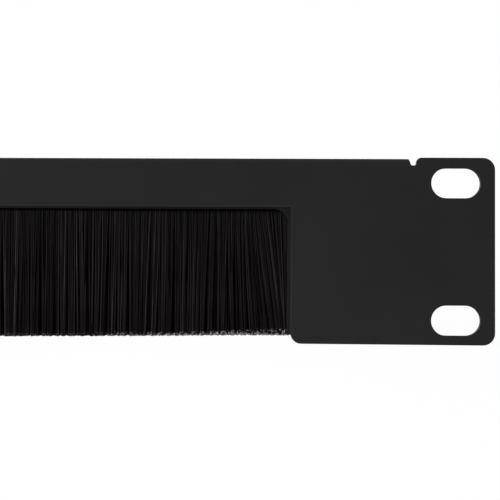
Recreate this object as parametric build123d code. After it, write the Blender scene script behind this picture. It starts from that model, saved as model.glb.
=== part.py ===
from build123d import *
from math import cos, radians, sin, tan
import os

# Rack brush strip panel, one rack unit high: a folded sheet panel that is open at the bottom,
# with a strip brush hanging behind its top bar so that cables can pass through the bristles.
# Millimetres. The origin is the middle of the four rack slots, on the back face of the ears.
# +X runs along the panel to the right as seen from the front, +Y goes back into the rack, +Z is up.

# Rack slots
slot_to_end = 8.95  # slot centre to the end of the panel
slot_spacing_z = 31.75
slot_length = 11.35
slot_height = 6.95

# Folded front panel
panel_width = 483.0
panel_sheet = 1.2
panel_bend = 0.3  # inside radius of the fold
margin_above_slots = 5.9  # slot centre to the top edge of the ear
margin_below_slots = 5.62  # slot centre to the bottom edge of the ear
fold_drop = 0.15  # the folded edge lies this far below the top of the ears
flange_depth = 14.0  # front face to the back edge of the folded flange
flange_corner = 2.0
bar_height = 11.55  # folded edge down to the opening
ear_width = 47.0  # end of the panel to the opening
ear_corner = 2.8
leg_corner = 2.5  # bottom corner of the ear beside the opening
notch_to_end = 19.3  # inner corner of the notch floor to the end of the panel
notch_floor = 1.15
notch_overrun = 0.14  # the notch goes this far below the bend
notch_inner_angle = 14.0  # lean of the notch side on the flange
notch_outer_angle = 10.0  # lean of the notch side on the ear
notch_floor_corner = 0.4
notch_ear_corner = 1.1

# Sheet behind the panel that carries the brush
carrier_sheet = 1.0
carrier_bend = 0.5
carrier_top_lip = 0.3  # its edge stands this far inside the opening at the top
carrier_side_lip = 0.75  # its edge stands this far inside the opening at the sides
carrier_lip_corner = 3.0
carrier_wing = 24.0  # reach behind the ear past the opening
carrier_leg_gap = 2.1  # bottom of its legs above the bottom of the ears
carrier_corner = 2.0
carrier_fold_gap = 0.2  # room between its shelf and the folded flange
rail_overlap = 6.0  # reach of its folded rail past the opening

# Strip brush
channel_width = 4.8
channel_height = 5.5
channel_wall = 0.5
channel_lean = 8.0  # the sides of the channel lean in towards its mouth
channel_clearance = 0.1
channel_overlap = 5.0
wire_diameter = 1.6
wire_clearance = 0.05
bristle_overlap = 4.0
bristle_clearance = 0.05
ridge_pitch = 1.8
ridge_depth = 0.35
tip_gap = 1.65  # tips at the ends of the brush above the bottom of the ears
tip_bow = 1.75  # the tips in the middle hang this much lower
tip_unevenness = 0.3
tuft_width = 3.6
tuft_gap = 0.5
tuft_gap_depth = 5.0
tuft_gap_unevenness = 3.0

# Studs, washers and nuts that hold the carrier
stud_to_opening = 13.0
stud_spacing_z = 20.0
stud_diameter = 3.0
stud_length = 6.0
stud_end_chamfer = 0.4
stud_flange_diameter = 4.5
stud_flange_recess = 0.3  # the welding flange ends this far inside the carrier sheet
stud_hole_clearance = 0.5
washer_diameter = 7.0
washer_thickness = 0.5
washer_clearance = 0.2
nut_across_flats = 5.5
nut_height = 2.4
nut_clearance = 0.1
nut_chamfer_angle = 30.0

# Levels and depths that follow from the sizes
end_x = panel_width / 2
opening_width = panel_width - 2 * ear_width
ear_top = slot_spacing_z / 2 + margin_above_slots
ear_bottom = -slot_spacing_z / 2 - margin_below_slots
fold_top = ear_top - fold_drop
opening_x = opening_width / 2
opening_top = fold_top - bar_height
bend_line = fold_top - panel_sheet - panel_bend
notch_x = end_x - notch_to_end
notch_z = bend_line - notch_overrun
shelf_top = fold_top - panel_sheet - carrier_fold_gap
shelf_under = shelf_top - carrier_sheet
mouth_z = shelf_under - channel_clearance - channel_height
rail_inside = channel_width + 2 * channel_clearance
brush_y = carrier_sheet + rail_inside / 2
channel_inner_radius = channel_width / 2 - channel_wall
channel_centre_z = mouth_z + channel_height - channel_width / 2
tip_z = ear_bottom + tip_gap
stud_x = opening_x + stud_to_opening
bristle_length = opening_width + 2 * bristle_overlap
golden_ratio = 0.618034


def rectangle(left, right, bottom, top):
    """A rectangle given by its four sides."""
    return Pos((left + right) / 2, (bottom + top) / 2) * Rectangle(right - left, top - bottom)


def plate(outline, front, back):
    """A flat piece whose outline is drawn as seen from the front, between two depths."""
    return extrude(Plane.XZ.offset(-front) * outline, amount=front - back)


def rail(profile, length):
    """A straight piece along the panel, whose profile is drawn in depth and height."""
    return extrude(Plane.YZ * profile, amount=length / 2, both=True)


def uneven(step, spread):
    """A value between plus and minus the spread that differs from one step to the next."""
    return (2 * (step * golden_ratio % 1) - 1) * spread


def notch(side):
    """Relief notch between the folded flange and an ear: side is 1 on the right and -1 on the left."""
    height = ear_top + panel_sheet - notch_z
    floor_end = notch_x + notch_floor
    shape = Polygon(
        (side * notch_x, notch_z),
        (side * floor_end, notch_z),
        (side * (floor_end + height * tan(radians(notch_outer_angle))), notch_z + height),
        (side * (notch_x - height * tan(radians(notch_inner_angle))), notch_z + height),
        align=None,
    )
    return fillet(shape.vertices().sort_by(Axis.Y)[:2], notch_floor_corner)


def front_panel():
    """Ears and bar cut from one sheet, with the top edge folded back between two relief notches."""
    outline = rectangle(-end_x, end_x, ear_bottom, ear_top)
    outline = fillet(outline.vertices(), ear_corner)
    outline -= rectangle(-opening_x, opening_x, ear_bottom - bar_height, opening_top)
    legs = outline.vertices().group_by(Axis.Y)[0].sort_by(lambda v: abs(v.X))
    outline = fillet(legs[:2], leg_corner)
    outline -= rectangle(-notch_x, notch_x, bend_line, ear_top + panel_sheet)
    outline -= notch(1) + notch(-1)
    shoulders = outline.vertices().group_by(Axis.Y)[-1].sort_by(lambda v: abs(v.X))
    outline = fillet(shoulders[:2], notch_ear_corner)
    with GridLocations(panel_width - 2 * slot_to_end, slot_spacing_z, 2, 2) as slots:
        for place in slots.locations:
            outline -= place * SlotOverall(slot_length, slot_height)
    face = plate(outline, -panel_sheet, 0)

    middle = -panel_sheet / 2
    fold = FilletPolyline(
        (middle, opening_top),
        (middle, fold_top - panel_sheet / 2),
        (flange_depth - panel_sheet, fold_top - panel_sheet / 2),
        radius=panel_bend + panel_sheet / 2,
    )
    flange = rail(trace(fold, panel_sheet), 2 * notch_x)
    back_corners = flange.edges().filter_by(Axis.Z).group_by(Axis.Y)[-1]
    flange = fillet(back_corners, flange_corner)
    for side in (1, -1):
        flange -= plate(notch(side), -panel_sheet, flange_depth)
    return face + flange


def brush_carrier():
    """Flat sheet round the opening, folded at the top into a rail that holds the brush channel."""
    wing_x = opening_x + carrier_wing
    leg_bottom = ear_bottom + carrier_leg_gap
    lip_x = opening_x - carrier_side_lip
    outline = rectangle(-wing_x, wing_x, leg_bottom, shelf_under - carrier_bend)
    outline = fillet(outline.vertices(), carrier_corner)
    window = rectangle(-lip_x, lip_x, leg_bottom - bar_height, opening_top - carrier_top_lip)
    outline -= fillet(window.vertices().sort_by(Axis.Y)[2:], carrier_lip_corner)
    with GridLocations(2 * stud_x, stud_spacing_z, 2, 2) as studs:
        for place in studs.locations:
            outline -= place * Circle((stud_flange_diameter + stud_hole_clearance) / 2)
    sheet = plate(outline, 0, carrier_sheet)

    middle = carrier_sheet / 2
    seat_front = brush_y + channel_inner_radius
    fold = FilletPolyline(
        (middle, opening_top),
        (middle, shelf_under + middle),
        (carrier_sheet + rail_inside + middle, shelf_under + middle),
        (carrier_sheet + rail_inside + middle, mouth_z - middle),
        (seat_front, mouth_z - middle),
        radius=carrier_bend + middle,
    )
    return sheet + rail(trace(fold, carrier_sheet), opening_width + 2 * rail_overlap)


def horseshoe(radius):
    """Line of the channel section: an arc over the top and two sides that lean in down to the mouth."""
    lean = radians(channel_lean)
    over = CenterArc((brush_y, channel_centre_z), radius, -channel_lean, 180 + 2 * channel_lean)
    drop = (channel_centre_z - radius * sin(lean) - mouth_z) / cos(lean)
    right = Line(over @ 0, over @ 0 + Vector(-sin(lean), -cos(lean)) * drop)
    left = Line(over @ 1, over @ 1 + Vector(sin(lean), -cos(lean)) * drop)
    return right + over + left


def filled_horseshoe(radius):
    """The area inside the line of the channel section, closed across the mouth."""
    line = horseshoe(radius)
    ends = line.vertices().sort_by(Axis.Y)[:2]
    return make_face(line + Line(ends[0], ends[1]))


def brush_channel():
    """Strip rolled round the folded ends of the bristles."""
    profile = filled_horseshoe(channel_width / 2) - filled_horseshoe(channel_inner_radius)
    return rail(profile, opening_width + 2 * channel_overlap)


def brush_core_wire():
    """Wire inside the channel that the bristles are folded over."""
    circle = Pos(brush_y, channel_centre_z) * Circle(wire_diameter / 2)
    return rail(circle, opening_width + 2 * channel_overlap)


def ridge_line(side, first):
    """Corrugated face of the bristle curtain: side is -1 at the front and 1 at the back."""
    count = round(bristle_length / ridge_pitch)
    pitch = bristle_length / count
    face_y = channel_inner_radius - bristle_clearance - channel_height * tan(radians(channel_lean)) / 2
    points = []
    for step in range(count):
        left = step * pitch - bristle_length / 2
        crest = left + pitch / 2 + uneven(step + first, pitch / 6)
        points.append((left, brush_y + side * (face_y - ridge_depth)))
        points.append((crest, brush_y + side * (face_y - abs(uneven(3 * step + first, ridge_depth / 2)))))
    points.append((bristle_length / 2, brush_y + side * (face_y - ridge_depth)))
    return points


def trim_z(x):
    """Level of the trimmed tips, which hang lowest in the middle of the brush."""
    return tip_z - tip_bow * (1 - (2 * x / bristle_length) ** 2)


def tuft_line():
    """Bottom line of the bristle curtain from left to right: tufts of uneven length with gaps between."""
    count = round(bristle_length / tuft_width)
    width = bristle_length / count
    points = []
    for step in range(count):
        left = step * width - bristle_length / 2 + tuft_gap / 2
        right = left + width - tuft_gap
        gap = right + tuft_gap / 2
        points.append((left, trim_z(left) + uneven(step, tip_unevenness)))
        points.append((right, trim_z(right) + uneven(5 * step, tip_unevenness)))
        points.append((gap, trim_z(gap) + tuft_gap_depth + uneven(7 * step, tuft_gap_unevenness)))
    return points[:-1]


def bristles():
    """Bristles folded over the wire, hanging out of the channel as a ridged curtain split into tufts."""
    root = filled_horseshoe(channel_inner_radius - bristle_clearance)
    root -= Pos(brush_y, channel_centre_z) * Circle(wire_diameter / 2 + wire_clearance)

    section = Polygon(*ridge_line(-1, 0), *reversed(ridge_line(1, 4)), align=None)
    bottom = trim_z(0) - tip_unevenness
    curtain = extrude(Pos(0, 0, bottom) * section, amount=mouth_z + wire_diameter / 2 - bottom)
    top = channel_centre_z
    half = bristle_length / 2
    front = Polygon((-half, top), *tuft_line(), (half, top), align=None)
    curtain &= plate(front, 0, 2 * brush_y)
    return rail(root, bristle_length) + curtain


def weld_stud():
    """Threaded stud with a welding flange, standing on +Z."""
    shank = Cylinder(stud_diameter / 2, stud_length, align=(Align.CENTER, Align.CENTER, Align.MIN))
    shank = chamfer(shank.edges().sort_by(Axis.Z)[-1], stud_end_chamfer)
    flange_height = carrier_sheet - stud_flange_recess
    flange = Cylinder(stud_flange_diameter / 2, flange_height, align=(Align.CENTER, Align.CENTER, Align.MIN))
    return shank + flange


def washer():
    """Plain washer lying on +Z."""
    ring = Circle(washer_diameter / 2) - Circle((stud_diameter + washer_clearance) / 2)
    return extrude(ring, amount=washer_thickness)


def hex_nut():
    """Hexagon nut lying on +Z, with the corners turned off at both faces."""
    flat = nut_across_flats / 2
    corner = flat / cos(radians(30))
    rise = (corner - flat) * tan(radians(nut_chamfer_angle))
    turned = Polygon(
        (0, 0), (flat, 0), (corner, rise), (corner, nut_height - rise), (flat, nut_height), (0, nut_height),
        align=None,
    )
    blank = extrude(RegularPolygon(flat, 6, major_radius=False), amount=nut_height)
    blank &= revolve(Plane.XZ * turned, Axis.Z)
    return blank - extrude(Circle((stud_diameter + nut_clearance) / 2), amount=nut_height)


def at_studs(piece, depth):
    """Four copies of a piece, each turned to point into the rack at one of the stud places."""
    copies = []
    for x in (-stud_x, stud_x):
        for z in (-stud_spacing_z / 2, stud_spacing_z / 2):
            copies.append(Pos(x, depth, z) * Rot(-90, 0, 0) * piece)
    return Compound(copies)


pieces = {
    "front_panel": front_panel(),
    "brush_carrier": brush_carrier(),
    "brush_channel": brush_channel(),
    "brush_core_wire": brush_core_wire(),
    "bristles": bristles(),
    "weld_studs": at_studs(weld_stud(), 0),
    "washers": at_studs(washer(), carrier_sheet),
    "hex_nuts": at_studs(hex_nut(), carrier_sheet + washer_thickness),
}

os.makedirs("parts", exist_ok=True)
for name, piece in pieces.items():
    export_step(piece, f"parts/{name}.step")
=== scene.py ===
import math

import bpy
import numpy as np
from mathutils import Euler, Matrix, Vector


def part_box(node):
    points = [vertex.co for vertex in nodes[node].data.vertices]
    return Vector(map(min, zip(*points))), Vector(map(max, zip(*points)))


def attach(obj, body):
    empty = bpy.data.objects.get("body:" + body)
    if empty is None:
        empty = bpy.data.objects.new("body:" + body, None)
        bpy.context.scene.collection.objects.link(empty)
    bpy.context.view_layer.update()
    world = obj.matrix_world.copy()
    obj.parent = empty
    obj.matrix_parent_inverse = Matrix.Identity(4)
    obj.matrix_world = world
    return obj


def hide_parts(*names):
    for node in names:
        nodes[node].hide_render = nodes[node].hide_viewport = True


# Rack brush strip panel in metres: +X right along the panel, +Y back into the rack, +Z up.

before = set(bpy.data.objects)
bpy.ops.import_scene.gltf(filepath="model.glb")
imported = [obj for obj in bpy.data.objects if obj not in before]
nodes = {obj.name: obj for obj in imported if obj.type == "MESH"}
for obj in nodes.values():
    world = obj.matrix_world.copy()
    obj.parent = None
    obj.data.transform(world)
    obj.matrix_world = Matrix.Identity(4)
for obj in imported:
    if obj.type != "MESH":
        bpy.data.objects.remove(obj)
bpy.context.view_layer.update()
MM = 0.001


# Materials

def new_material(name, colour, roughness, metallic=0.0, specular=0.5):
    """A material with its shader set, and its node tree, shader and object coordinates to build on."""
    material = bpy.data.materials.new(name)
    material.use_nodes = True
    tree = material.node_tree
    shader = tree.nodes["Principled BSDF"]
    shader.inputs["Base Color"].default_value = (*colour, 1.0)
    shader.inputs["Roughness"].default_value = roughness
    shader.inputs["Metallic"].default_value = metallic
    shader.inputs["Specular IOR Level"].default_value = specular
    place = tree.nodes.new("ShaderNodeTexCoord").outputs["Object"]
    return material, tree, shader, place


def stretched(tree, place, scale):
    """Coordinates stretched by a scale along X, Y and Z."""
    mapping = tree.nodes.new("ShaderNodeMapping")
    mapping.inputs["Scale"].default_value = scale
    tree.links.new(place, mapping.inputs["Vector"])
    return mapping.outputs["Vector"]


def noise(tree, place, size, detail=2.0, roughness=0.5):
    """Noise whose lumps are about the given size in metres."""
    node = tree.nodes.new("ShaderNodeTexNoise")
    node.inputs["Scale"].default_value = 1.0 / size
    node.inputs["Detail"].default_value = detail
    node.inputs["Roughness"].default_value = roughness
    tree.links.new(place, node.inputs["Vector"])
    return node.outputs["Fac"]


def ramp(tree, value, stops):
    """Colour ramp over a value: stops are pairs of place and colour."""
    node = tree.nodes.new("ShaderNodeValToRGB")
    elements = node.color_ramp.elements
    for spare in range(len(stops) - 2):
        elements.new(0.5)
    for element, (at, colour) in zip(elements, stops):
        element.position = at
        element.color = (*colour, 1.0)
    tree.links.new(value, node.inputs["Fac"])
    return node.outputs["Color"]


def span(tree, value, low, high, to_low, to_high):
    """A value carried from one range to another and held at the ends."""
    node = tree.nodes.new("ShaderNodeMapRange")
    node.inputs["From Min"].default_value = low
    node.inputs["From Max"].default_value = high
    node.inputs["To Min"].default_value = to_low
    node.inputs["To Max"].default_value = to_high
    tree.links.new(value, node.inputs["Value"])
    return node.outputs["Result"]


def maths(tree, operation, first, second):
    """One sum of two values; the second may be a plain number."""
    node = tree.nodes.new("ShaderNodeMath")
    node.operation = operation
    tree.links.new(first, node.inputs[0])
    if isinstance(second, (int, float)):
        node.inputs[1].default_value = second
    else:
        tree.links.new(second, node.inputs[1])
    return node.outputs["Value"]


def mix(tree, amount, first, second, blend="MIX"):
    """Two colours mixed by an amount."""
    node = tree.nodes.new("ShaderNodeMix")
    node.data_type = "RGBA"
    node.blend_type = blend
    tree.links.new(amount, node.inputs["Factor"])
    for socket, colour in ((node.inputs["A"], first), (node.inputs["B"], second)):
        if isinstance(colour, tuple):
            socket.default_value = (*colour, 1.0)
        else:
            tree.links.new(colour, socket)
    return node.outputs["Result"]


def bump(tree, shader, height, strength, depth):
    """Bump from a height, added over any bump the shader has."""
    node = tree.nodes.new("ShaderNodeBump")
    node.inputs["Strength"].default_value = strength
    node.inputs["Distance"].default_value = depth
    tree.links.new(height, node.inputs["Height"])
    normal = shader.inputs["Normal"]
    if normal.is_linked:
        tree.links.new(normal.links[0].from_socket, node.inputs["Normal"])
    tree.links.new(node.outputs["Normal"], normal)


def powder_coat(name, dark, light):
    """Matt black powder coat: a fine orange-peel skin with slight clouds and fine grains."""
    material, tree, shader, place = new_material(name, dark, 0.66, specular=0.05)
    clouds = noise(tree, place, 35 * MM, 3.0)
    grains = noise(tree, place, 0.35 * MM, 2.0, 0.6)
    tone = maths(tree, "ADD", maths(tree, "MULTIPLY", grains, 0.5), span(tree, clouds, 0.3, 0.7, 0.15, 0.5))
    tree.links.new(ramp(tree, tone, ((0.25, dark), (0.85, light))), shader.inputs["Base Color"])
    tree.links.new(span(tree, grains, 0.3, 0.7, 0.60, 0.72), shader.inputs["Roughness"])
    bump(tree, shader, noise(tree, place, 0.7 * MM, 2.0), 0.25, 0.03 * MM)
    bump(tree, shader, grains, 0.12, 0.015 * MM)
    return material


def painted_edge_highlight(material, highlight_colour):
    """Painted highlight: a paler band of paint along the cut edge of the opening, standing in for light on
    its rounded edge.
    """
    tree = material.node_tree
    shader = tree.nodes["Principled BSDF"]
    split = tree.nodes.new("ShaderNodeSeparateXYZ")
    tree.links.new(tree.nodes.new("ShaderNodeTexCoord").outputs["Object"], split.inputs["Vector"])
    beside = maths(tree, "SUBTRACT", maths(tree, "ABSOLUTE", split.outputs["X"], 0.0), OPENING_X)
    above = maths(tree, "SUBTRACT", split.outputs["Z"], OPENING_TOP)
    outside = maths(tree, "MAXIMUM", beside, above)
    # painted highlight: paler paint within a band along the cut edge of the opening
    highlight_amount = span(tree, outside, HIGHLIGHT_WIDTH, HIGHLIGHT_WIDTH + HIGHLIGHT_FADE, 1.0, 0.0)
    paint = shader.inputs["Base Color"].links[0].from_socket
    tree.links.new(mix(tree, highlight_amount, paint, highlight_colour, "ADD"), shader.inputs["Base Color"])


def plated_steel(name, dark, light, roughness, grain):
    """Zinc-coated steel: streaks along the piece, a mottled bloom and small scratches."""
    material, tree, shader, place = new_material(name, light, roughness, metallic=1.0)
    bloom = noise(tree, place, 3.0 * MM, 4.0, 0.6)
    streaks = noise(tree, stretched(tree, place, grain), 0.4 * MM, 3.0)
    tone = maths(tree, "ADD", maths(tree, "MULTIPLY", bloom, 0.6), maths(tree, "MULTIPLY", streaks, 0.4))
    tree.links.new(ramp(tree, tone, ((0.3, dark), (0.7, light))), shader.inputs["Base Color"])
    graded = span(tree, bloom, 0.3, 0.7, roughness - 0.08, roughness + 0.12)
    tree.links.new(graded, shader.inputs["Roughness"])
    bump(tree, shader, streaks, 0.2, 0.01 * MM)
    return material


def strand_tone(tree, height):
    """Tone of each filament, with painted highlights on the brightest, painted light low in the brush, and
    more even where it is packed.
    """
    filament = tree.nodes.new("ShaderNodeNewGeometry").outputs["Random Per Island"]
    # random tone per filament; its brightest filaments are painted highlights
    own = ramp(tree, filament, (
        (0.0, (0.0010, 0.0008, 0.0009)),
        (0.5, (0.0066, 0.0053, 0.0057)),
        (0.9, (0.0192, 0.0152, 0.0165)),
        (1.0, (0.0390, 0.0310, 0.0338)),
    ))
    # painted light: paler low in the brush, lifting the shade between the spread tips
    graded = span(tree, height, TRIM_LOW, TRIM_LOW + LIFT_HEIGHT, 1.0, 0.0)
    painted_light_tone = mix(tree, graded, own, (0.0048, 0.0038, 0.0041), "ADD")
    packed = span(tree, height, OPENING_TOP - PACKED_HEIGHT, OPENING_TOP, 0.0, 0.5)
    return mix(tree, packed, painted_light_tone, (0.0092, 0.0075, 0.0081))


def brush_shade(tree, depth, height):
    """Painted shade and shadow: how much darker the filaments are painted deep in the brush and just under
    the bar.
    """
    outward = maths(tree, "ABSOLUTE", maths(tree, "SUBTRACT", depth, BRUSH_Y), 0.0)
    # painted shade deep inside the brush
    deep = span(tree, outward, DEEP_INSIDE, DEEP_OUTSIDE, 0.95, 0.0)
    # painted shadow just under the bar
    under_bar_shadow = span(tree, height, OPENING_TOP - SHADOW_LOW, OPENING_TOP - SHADOW_HIGH, 0.0, 1.0)
    return maths(tree, "MAXIMUM", deep, under_bar_shadow)


def pale_tips(tree, place, along, height):
    """Where the cut ends show as pale flecks, with painted light making them stronger towards the ends of
    the brush.
    """
    bow = maths(tree, "MULTIPLY", maths(tree, "POWER", along, 2.0), TIP_BOW / HALF_LENGTH ** 2)
    above_trim = maths(tree, "SUBTRACT", maths(tree, "SUBTRACT", height, bow), TRIM_LOW)
    sideways = maths(tree, "ABSOLUTE", along, 0.0)
    reach = span(tree, sideways, 172 * MM, 188 * MM, 1.15 * MM, 1.7 * MM)
    near_tip = span(tree, maths(tree, "DIVIDE", above_trim, reach), 0.0, 1.0, 1.0, 0.0)
    # painted light: the pale flecks grow stronger towards the ends of the brush
    lit_towards_ends = span(tree, sideways, 146 * MM, 165 * MM, 0.14, 1.0)
    grain = noise(tree, stretched(tree, place, (1.0, 0.1, 1.0)), FLECK_SIZE, 0.0)
    crowded = maths(tree, "ADD", grain, maths(tree, "MULTIPLY", near_tip, 0.26))
    fleck = span(tree, crowded, 0.69, 0.73, 0.0, 1.0)
    cut = span(tree, near_tip, 0.0, 0.4, 0.0, 1.0)
    return maths(tree, "MULTIPLY", maths(tree, "MULTIPLY", cut, lit_towards_ends), fleck)


def nylon(name):
    """Black nylon filament: each has its own tone with painted highlights on the brightest, painted shade
    deep in the brush and painted shadow under the bar, painted light low in the brush, and pale flecks at
    the cut tips.
    """
    material, tree, shader, place = new_material(name, (0.014, 0.0116, 0.0126), 0.45, specular=0.02)
    split = tree.nodes.new("ShaderNodeSeparateXYZ")
    tree.links.new(place, split.inputs["Vector"])
    along, depth, height = split.outputs
    shade = brush_shade(tree, depth, height)
    # painted shade and shadow darken the filaments towards near black
    shaded = mix(tree, shade, strand_tone(tree, height), (0.0004, 0.0003, 0.0003))
    colour = mix(tree, pale_tips(tree, place, along, height), shaded, (0.32, 0.29, 0.31))
    tree.links.new(colour, shader.inputs["Base Color"])
    rubbed = noise(tree, stretched(tree, place, (1.0, 1.0, 0.15)), 0.5 * MM, 2.0)
    tree.links.new(span(tree, rubbed, 0.3, 0.7, 0.38, 0.54), shader.inputs["Roughness"])
    bump(tree, shader, rubbed, 0.1, 0.01 * MM)
    return material


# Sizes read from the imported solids
brush_low, brush_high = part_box("bristles")
channel_low, channel_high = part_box("brush_channel")
wire_low, wire_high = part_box("brush_core_wire")
stud_low, stud_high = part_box("weld_studs")
panel_low, panel_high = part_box("front_panel")
BAR_HEIGHT = 11.7 * MM  # top of the ears down to the opening
EAR_WIDTH = 47.0 * MM
OPENING_TOP = panel_high.z - BAR_HEIGHT
OPENING_X = panel_high.x - EAR_WIDTH
MOUTH_Z = channel_low.z
BRUSH_Y = (wire_low.y + wire_high.y) / 2
WIRE_Z = (wire_low.z + wire_high.z) / 2
WIRE_RADIUS = (wire_high.z - wire_low.z) / 2
HALF_LENGTH = brush_high.x
TRIM_RISE = 0.43 * MM  # tips in the middle of the brush above the lowest tuft of the solid
TRIM_LOW = brush_low.z + TRIM_RISE
TIP_BOW = 1.65 * MM  # tips at the ends of the brush above those in the middle

# Reach of the painted edge highlight, of the painted light, shade and shadow in the brush, and of the other
# marks on paint and bristles
HIGHLIGHT_WIDTH = 0.3 * MM
HIGHLIGHT_FADE = 0.2 * MM
LIFT_HEIGHT = 17 * MM
PACKED_HEIGHT = 14 * MM
DEEP_INSIDE = 0.6 * MM
DEEP_OUTSIDE = 1.1 * MM
SHADOW_LOW = 1.05 * MM
SHADOW_HIGH = 0.65 * MM
FLECK_SIZE = 0.34 * MM


def dress(name, material):
    """Gives a CAD node its material."""
    slots = nodes[name].data.materials
    slots.clear()
    slots.append(material)


def soften_edges(name, width, joined=0.001 * MM):
    """Rounds the sharp edges of a CAD node with modifiers; points closer than joined become one first."""
    piece = nodes[name]
    weld = piece.modifiers.new("weld", "WELD")
    weld.merge_threshold = joined
    flat = piece.modifiers.new("flat", "DECIMATE")
    flat.decimate_type = "DISSOLVE"
    flat.angle_limit = math.radians(0.5)
    rounding = piece.modifiers.new("rounding", "BEVEL")
    rounding.width = width
    rounding.segments = 3
    rounding.limit_method = "ANGLE"
    rounding.angle_limit = math.radians(40)
    rounding.use_clamp_overlap = False
    shading = piece.modifiers.new("shading", "WEIGHTED_NORMAL")
    shading.keep_sharp = False


panel_paint = powder_coat("panel_paint_finish", (0.0098, 0.0098, 0.0098), (0.0144, 0.0144, 0.0144))
# painted highlight along the edge of the opening
painted_edge_highlight(panel_paint, (0.0030, 0.0030, 0.0030))
# the carrier is the same black powder coat as the panel, painted darker as shade on its lip recessed behind
# the panel
carrier_paint_shaded = powder_coat("carrier_paint_shaded_finish", (0.0072, 0.0072, 0.0072), (0.0106, 0.0106, 0.0106))
galvanised = plated_steel("channel_finish", (0.28, 0.29, 0.30), (0.52, 0.53, 0.54), 0.42, (0.02, 1.0, 1.0))
drawn_wire = plated_steel("wire_finish", (0.25, 0.25, 0.26), (0.45, 0.45, 0.46), 0.35, (0.02, 1.0, 1.0))
zinc = plated_steel("fastener_finish", (0.42, 0.43, 0.45), (0.66, 0.67, 0.68), 0.30, (1.0, 0.15, 1.0))
strand_nylon = nylon("strand_finish")

dress("front_panel", panel_paint)
dress("brush_carrier", carrier_paint_shaded)
dress("brush_channel", galvanised)
dress("brush_core_wire", drawn_wire)
dress("washers", zinc)
dress("hex_nuts", zinc)
soften_edges("front_panel", 0.15 * MM, 0.1 * MM)
soften_edges("brush_carrier", 0.12 * MM)
soften_edges("brush_channel", 0.08 * MM)
soften_edges("washers", 0.06 * MM)
soften_edges("hex_nuts", 0.06 * MM)


# Bristles

def mesh_piece(name, points, faces, material):
    """A smooth mesh piece that rides with the panel."""
    mesh = bpy.data.meshes.new(name)
    mesh.from_pydata(points, [], faces)
    mesh.polygons.foreach_set("use_smooth", [True] * len(mesh.polygons))
    mesh.materials.append(material)
    piece = bpy.data.objects.new(name, mesh)
    bpy.context.scene.collection.objects.link(piece)
    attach(piece, "root")
    return piece


def smooth_random(rng, places, spacing):
    """Smooth random values along the brush, with a new value every spacing."""
    count = int(2 * HALF_LENGTH / spacing) + 3
    knots = spacing * np.arange(count) - HALF_LENGTH - spacing
    return np.interp(places, knots, rng.normal(size=count))


FAN_ANGLE = 1.0
FAN_START = 20.0 * MM
FAN_LENGTH = 6.0 * MM
SWELL_ANGLE = 5.5
SWELL_MIDDLE = 11.5 * MM
SWELL_SPREAD = 4.2 * MM


def end_lean(x):
    """Sideways lean towards the ends of the brush, where the filaments fan outwards."""
    inside = HALF_LENGTH - np.abs(x)
    fan = FAN_ANGLE * np.clip((FAN_START - inside) / FAN_LENGTH, 0.0, 1.0)
    swell = SWELL_ANGLE * np.exp(-((inside - SWELL_MIDDLE) / SWELL_SPREAD) ** 2)
    return np.sign(x) * np.tan(np.radians(fan + swell))


SIDES = 4
LEG_RINGS = 5
FOLD_ANGLES = np.radians((188.0, 139.0, 90.0, 41.0, -8.0))


def tube_mesh(path, radius):
    """Points and faces of many thin closed tubes: path is tube by ring by coordinate."""
    count, rings = path.shape[:2]
    along = np.gradient(path, axis=1)
    along /= np.linalg.norm(along, axis=2, keepdims=True)
    across = np.array((1.0, 0.0, 0.0)) - along * along[:, :, :1]
    across /= np.linalg.norm(across, axis=2, keepdims=True)
    third = np.cross(along, across)
    turn = np.arange(SIDES) * 2 * math.pi / SIDES + math.pi / 4
    circle = across[:, :, None] * np.cos(turn)[:, None] + third[:, :, None] * np.sin(turn)[:, None]
    points = path[:, :, None] + radius[:, None, None, None] * circle
    ring = np.arange(SIDES)
    after = (ring + 1) % SIDES
    quads = []
    for step in range(rings - 1):
        low, high = step * SIDES, (step + 1) * SIDES
        quads.append(np.stack((low + ring, low + after, high + after, high + ring), axis=1))
    quads.append(np.stack((ring[::-1], (rings - 1) * SIDES + ring)))
    starts = np.arange(count)[:, None, None] * SIDES * rings
    faces = np.concatenate(quads)[None] + starts
    return points.reshape(-1, 3), faces.reshape(-1, 4)


def trim_z(x):
    """Level of the trimmed tips, which hang lowest in the middle of the brush."""
    return TRIM_LOW + TIP_BOW * (x / HALF_LENGTH) ** 2


CLUMP_NARROW = 0.3 * MM
CLUMP_WIDE = 1.0 * MM
CLUMP_LEAN = 0.010
CLUMP_TRIM = 0.02 * MM
STRAND_LEAN = 0.004
STRAND_TRIM = 0.025 * MM
END_GATHER_LENGTH = 22 * MM


def clumps(side):
    """Edges, leans and uneven trim of the clumps that the filaments of one side gather into."""
    rng = np.random.default_rng(12 + side)
    count = int(4 * HALF_LENGTH / CLUMP_WIDE)
    edges = np.cumsum(rng.uniform(CLUMP_NARROW, CLUMP_WIDE, count)) - HALF_LENGTH
    lean = CLUMP_LEAN * rng.normal(size=len(edges) + 1)
    trim = CLUMP_TRIM * rng.normal(size=len(edges) + 1)
    return edges, lean, trim


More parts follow.
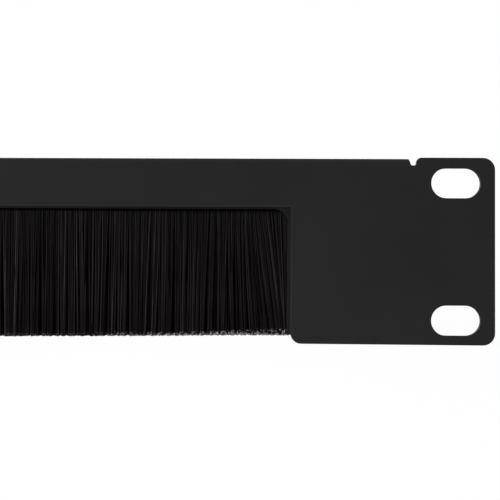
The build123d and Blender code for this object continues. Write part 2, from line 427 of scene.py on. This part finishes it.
def leg(rng, root, depth, side, lean, clumping):
    """One leg of each filament from the mouth of the channel to its tip; side is -1 at the front."""
    count = len(root)
    edges, clump_lean, clump_trim = clumps(side)
    clump = np.searchsorted(edges, root)
    bounds = np.concatenate(([-HALF_LENGTH], edges))
    centre = (bounds[clump] + bounds[clump + 1]) / 2
    own_lean = clump_lean[clump] + STRAND_LEAN * rng.normal(size=count)
    shift = (lean + clumping * own_lean) * (MOUTH_Z - TRIM_LOW)
    inside = HALF_LENGTH - np.abs(root)
    gather = rng.uniform(0.3, 0.65, count) + 0.2 * (inside < END_GATHER_LENGTH)
    shift += clumping * gather * (centre - root)

    tip_z = trim_z(root) + clump_trim[clump] + STRAND_TRIM * rng.normal(size=count)
    short = rng.random(count) < 0.5 - 0.4 * clumping
    tip_z += short * rng.uniform(0.1, 0.5, count) * MM
    tip_depth = depth * 1.2 + 0.2 * MM * rng.normal(size=count)

    share = np.linspace(0.0, 1.0, LEG_RINGS)[None, :]
    sway = (0.01 + 0.09 * clumping) * MM * rng.normal(size=(count, 1)) * np.sin(math.pi * share)
    x = root[:, None] + shift[:, None] * share ** 1.1 + sway
    y = BRUSH_Y + side * (depth[:, None] + (tip_depth - depth)[:, None] * share)
    z = MOUTH_Z + (tip_z[:, None] - MOUTH_Z) * share
    return np.stack((x, y, z), axis=2)


def filaments(rng, count, inner, outer, clumping):
    """Paths of filaments folded over the wire; inner and outer say how far out in the bundle they lie."""
    spacing = 2 * HALF_LENGTH / count
    jitter = (0.15 + 0.35 * clumping) * rng.uniform(-1, 1, count)
    root = spacing * (np.arange(count) + 0.5 + jitter) - HALF_LENGTH
    rank = rng.uniform(inner, outer, count)
    lean = (0.25 + 0.75 * clumping) * end_lean(root)
    lean += (0.004 + 0.008 * clumping) * smooth_random(np.random.default_rng(7), root, 6 * MM)
    depth = (0.12 + 1.18 * rank) * MM
    front = leg(rng, root, depth, -1, lean, clumping)
    back = leg(rng, root + spacing / 2, depth, 1, lean, clumping)
    fold_radius = (WIRE_RADIUS + (0.2 + 0.75 * rank) * MM)[:, None]
    fold = np.stack((
        np.repeat(root[:, None], len(FOLD_ANGLES), axis=1),
        BRUSH_Y + fold_radius * np.cos(FOLD_ANGLES),
        WIRE_Z + fold_radius * np.sin(FOLD_ANGLES),
    ), axis=2)
    return np.concatenate((front[:, ::-1], fold, back), axis=1)


CORE_COUNT = 3100
COVER_COUNT = 1500
OUTSIDE_COUNT = 2900
rng = np.random.default_rng(41)
core = filaments(rng, CORE_COUNT, 0.0, 0.35, 0.0)
cover = filaments(rng, COVER_COUNT, 0.35, 0.65, 0.8)
outside = filaments(rng, OUTSIDE_COUNT, 0.65, 1.0, 1.0)
all_paths = np.concatenate((core, cover, outside))
all_radii = rng.uniform(0.09, 0.13, len(all_paths)) * MM
all_radii[:len(core)] += 0.04 * MM
SECTIONS = 5
section_of = ((all_paths[:, LEG_RINGS, 0] + HALF_LENGTH) / (2 * HALF_LENGTH) * SECTIONS).astype(int)
for number in range(SECTIONS):
    chosen = section_of == number
    points, faces = tube_mesh(all_paths[chosen], all_radii[chosen])
    name = f"bristles_section_{number + 1}"
    piece = mesh_piece(name, points.tolist(), faces.tolist(), strand_nylon)
    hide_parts("bristles")


# Threaded studs

THREAD_PITCH = 0.5 * MM
THREAD_RADIUS = 1.5 * MM
THREAD_DEPTH = 0.307 * MM
STUD_FLANGE_RADIUS = 2.25 * MM
STUD_FLANGE_HEIGHT = 0.7 * MM
STUD_CHAMFER = 0.4 * MM
STUD_SIDES = 24
ROWS_PER_PITCH = 10


def stud_rows(turn):
    """Depths and radii of one stud round its axis: welding flange, thread and chamfered end."""
    length = stud_high.y - stud_low.y
    around = np.ones(STUD_SIDES)
    rows = [(0.0, STUD_FLANGE_RADIUS * around), (STUD_FLANGE_HEIGHT, STUD_FLANGE_RADIUS * around)]
    count = round((length - STUD_FLANGE_HEIGHT) / THREAD_PITCH * ROWS_PER_PITCH)
    for height in np.linspace(STUD_FLANGE_HEIGHT, length, count):
        slope = np.abs(2 * ((height / THREAD_PITCH - turn / (2 * math.pi)) % 1) - 1)
        thread = THREAD_RADIUS - THREAD_DEPTH * np.clip((slope - 0.125) / 0.625, 0.0, 1.0)
        chamfer = THREAD_RADIUS - STUD_CHAMFER + (length - height)
        rows.append((height, np.minimum(thread, chamfer)))
    return rows


def threaded_studs():
    """The four studs that stand on the backs of the ears."""
    turn = np.arange(STUD_SIDES) * 2 * math.pi / STUD_SIDES
    rows = stud_rows(turn)
    reach_x = stud_high.x - STUD_FLANGE_RADIUS
    reach_z = stud_high.z - STUD_FLANGE_RADIUS
    points = []
    faces = []
    for x in (-reach_x, reach_x):
        for z in (-reach_z, reach_z):
            first = len(points)
            for height, radius in rows:
                for angle, out in zip(turn, radius):
                    place = (x + out * math.cos(angle), stud_low.y + height, z + out * math.sin(angle))
                    points.append(place)
            for row in range(len(rows) - 1):
                low = first + row * STUD_SIDES
                for step in range(STUD_SIDES):
                    after = (step + 1) % STUD_SIDES
                    high = low + STUD_SIDES
                    faces.append((low + step, high + step, high + after, low + after))
            last = first + (len(rows) - 1) * STUD_SIDES
            faces.append([first + step for step in range(STUD_SIDES)])
            faces.append([last + step for step in reversed(range(STUD_SIDES))])
    return points, faces


points, faces = threaded_studs()
studs = mesh_piece("threaded_studs", points, faces, zinc)
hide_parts("weld_studs")


# Stage, light and camera

def area_light(name, place, target, size, power):
    """A soft square lamp aimed at a point."""
    light = bpy.data.lights.new(name, "AREA")
    light.size = size
    light.energy = power
    lamp = bpy.data.objects.new(name, light)
    lamp.location = place
    lamp.rotation_euler = (Vector(target) - Vector(place)).to_track_quat("-Z", "Y").to_euler()
    bpy.context.scene.collection.objects.link(lamp)


def seen_directly(tree):
    """One for rays from the camera, in mirrors and through glass, and nought for light on the object."""
    path = tree.nodes.new("ShaderNodeLightPath")
    both = maths(tree, "MAXIMUM", path.outputs["Is Camera Ray"], path.outputs["Is Glossy Ray"])
    return maths(tree, "MAXIMUM", both, path.outputs["Is Transmission Ray"])


def studio_world():
    """White surroundings that light the object softly."""
    world = bpy.data.worlds.new("studio")
    world.use_nodes = True
    tree = world.node_tree
    background = tree.nodes["Background"]
    background.inputs["Color"].default_value = (1.0, 1.0, 1.0, 1.0)
    tree.links.new(span(tree, seen_directly(tree), 0.0, 1.0, 0.12, 1.0), background.inputs["Strength"])
    bpy.context.scene.world = world


def studio_floor(level):
    """Wide pale floor that is near white to the camera and still takes a soft shadow."""
    half = 12.0
    mesh = bpy.data.meshes.new("floor")
    corners = [(-half, -half, 0), (half, -half, 0), (half, half, 0), (-half, half, 0)]
    mesh.from_pydata(corners, [], [(0, 1, 2, 3)])
    material, tree, shader, place = new_material("floor_finish", (0.9, 0.9, 0.9), 0.9, specular=0.0)
    tint = ramp(tree, noise(tree, place, 0.6, 2.0), ((0.3, (0.74, 0.74, 0.74)), (0.7, (0.76, 0.76, 0.76))))
    tree.links.new(tint, shader.inputs["Base Color"])
    glow = tree.nodes.new("ShaderNodeEmission")
    blend = tree.nodes.new("ShaderNodeMixShader")
    tree.links.new(maths(tree, "MULTIPLY", seen_directly(tree), 0.985), blend.inputs["Fac"])
    tree.links.new(shader.outputs["BSDF"], blend.inputs[1])
    tree.links.new(glow.outputs["Emission"], blend.inputs[2])
    tree.links.new(blend.outputs["Shader"], tree.nodes["Material Output"].inputs["Surface"])
    mesh.materials.append(material)
    floor = bpy.data.objects.new("floor", mesh)
    floor.location.z = level
    bpy.context.scene.collection.objects.link(floor)


def photo_camera():
    """Close front view of the right end of the panel."""
    data = bpy.data.cameras.new("camera")
    data.sensor_width = 36.0
    data.lens = 49.28
    data.clip_start = 0.01
    data.clip_end = 100.0
    camera = bpy.data.objects.new("camera", data)
    camera.location = (188.99 * MM, -160.0 * MM, -3.16 * MM)
    level = Euler((math.radians(91.183), 0.0, math.radians(1.428))).to_matrix()
    camera.rotation_euler = (level @ Matrix.Rotation(math.radians(0.407), 3, "Z")).to_euler()
    bpy.context.scene.collection.objects.link(camera)
    bpy.context.scene.camera = camera


studio_world()
studio_floor(-0.25)
area_light("key", (0.0, -1.5, 0.12), (0.15, 0.0, 0.0), 0.2, 4.7)
area_light("left", (-1.3, -0.9, 0.06), (0.15, 0.0, 0.0), 0.4, 26.0)
area_light("right", (1.5, -0.8, 0.16), (0.1, 0.0, 0.0), 0.3, 4.6)
area_light("top", (0.1, -0.3, 1.3), (0.1, 0.0, 0.0), 0.8, 8.0)
area_light("rear", (-0.5, 1.4, 0.6), (0.0, 0.0, 0.0), 0.8, 24.0)
photo_camera()
bpy.context.scene.view_settings.view_transform = "Standard"
